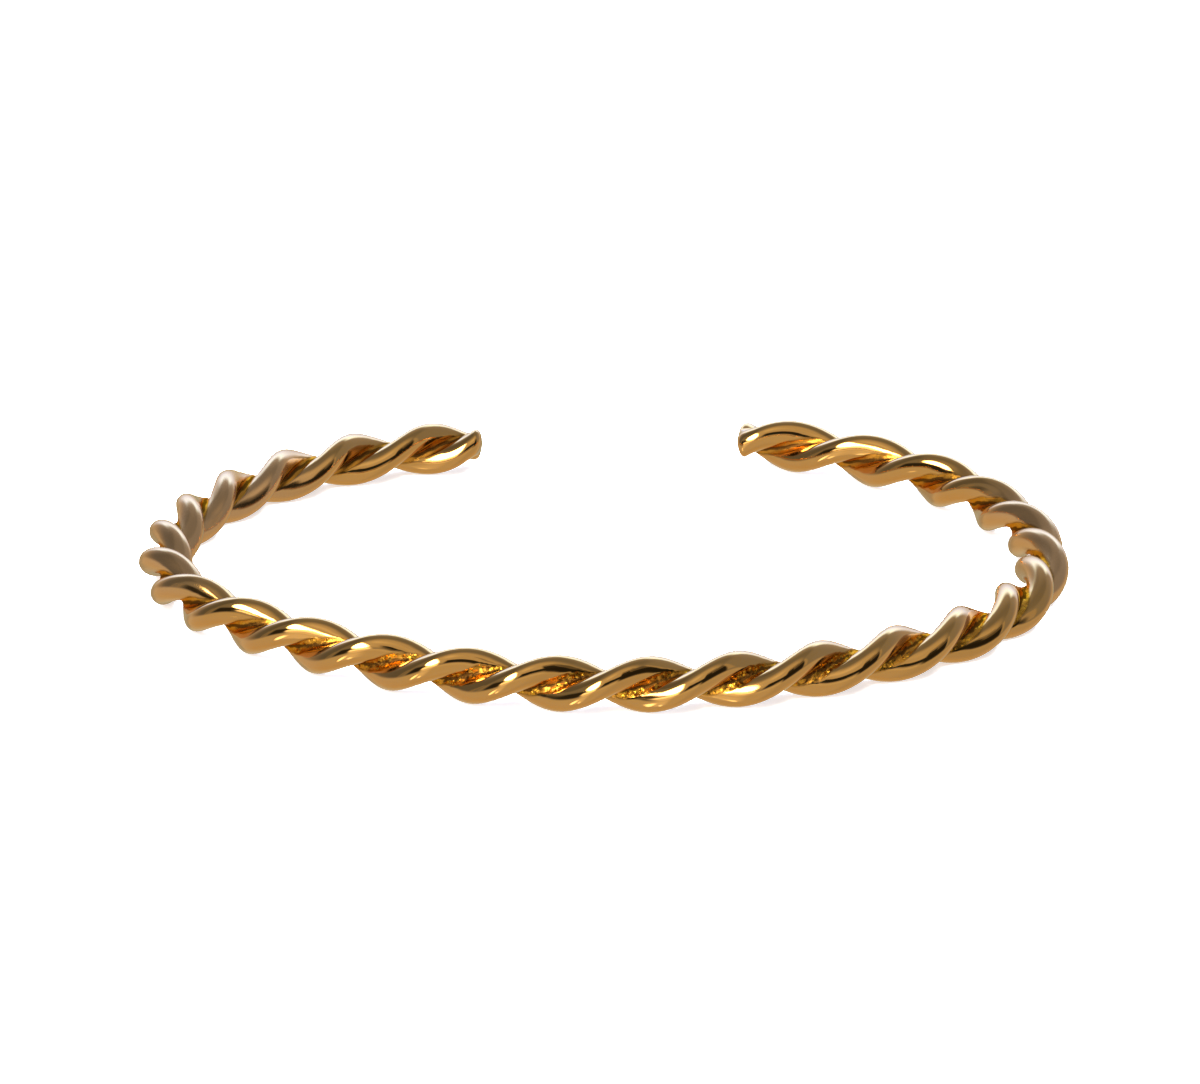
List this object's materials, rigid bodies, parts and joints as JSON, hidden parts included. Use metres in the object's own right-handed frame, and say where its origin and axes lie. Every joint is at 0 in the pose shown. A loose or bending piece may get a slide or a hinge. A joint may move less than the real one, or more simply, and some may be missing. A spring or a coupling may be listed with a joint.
{
  "type": "rope cuff bracelet",
  "caption": "Open oval cuff of round strands twisted and fused into one polished gold rope, with rounded ends and a gap that lets it slip over a wrist.",
  "frame": {"origin": "centre of the footprint, on the surface that the bracelet lies on", "axes": "+Z is the wrist axis; +X runs along the wide direction of the oval; +Y points to the gap between the ends"},
  "size_m": [0.066, 0.0558, 0.0038],
  "materials": {
    "polished_gold": "polished yellow gold plating on brass, rough and crinkled in the bottom of the grooves"
  },
  "bodies": {
    "root": {"rope_band": "polished_gold"}
  },
  "joints": []
}
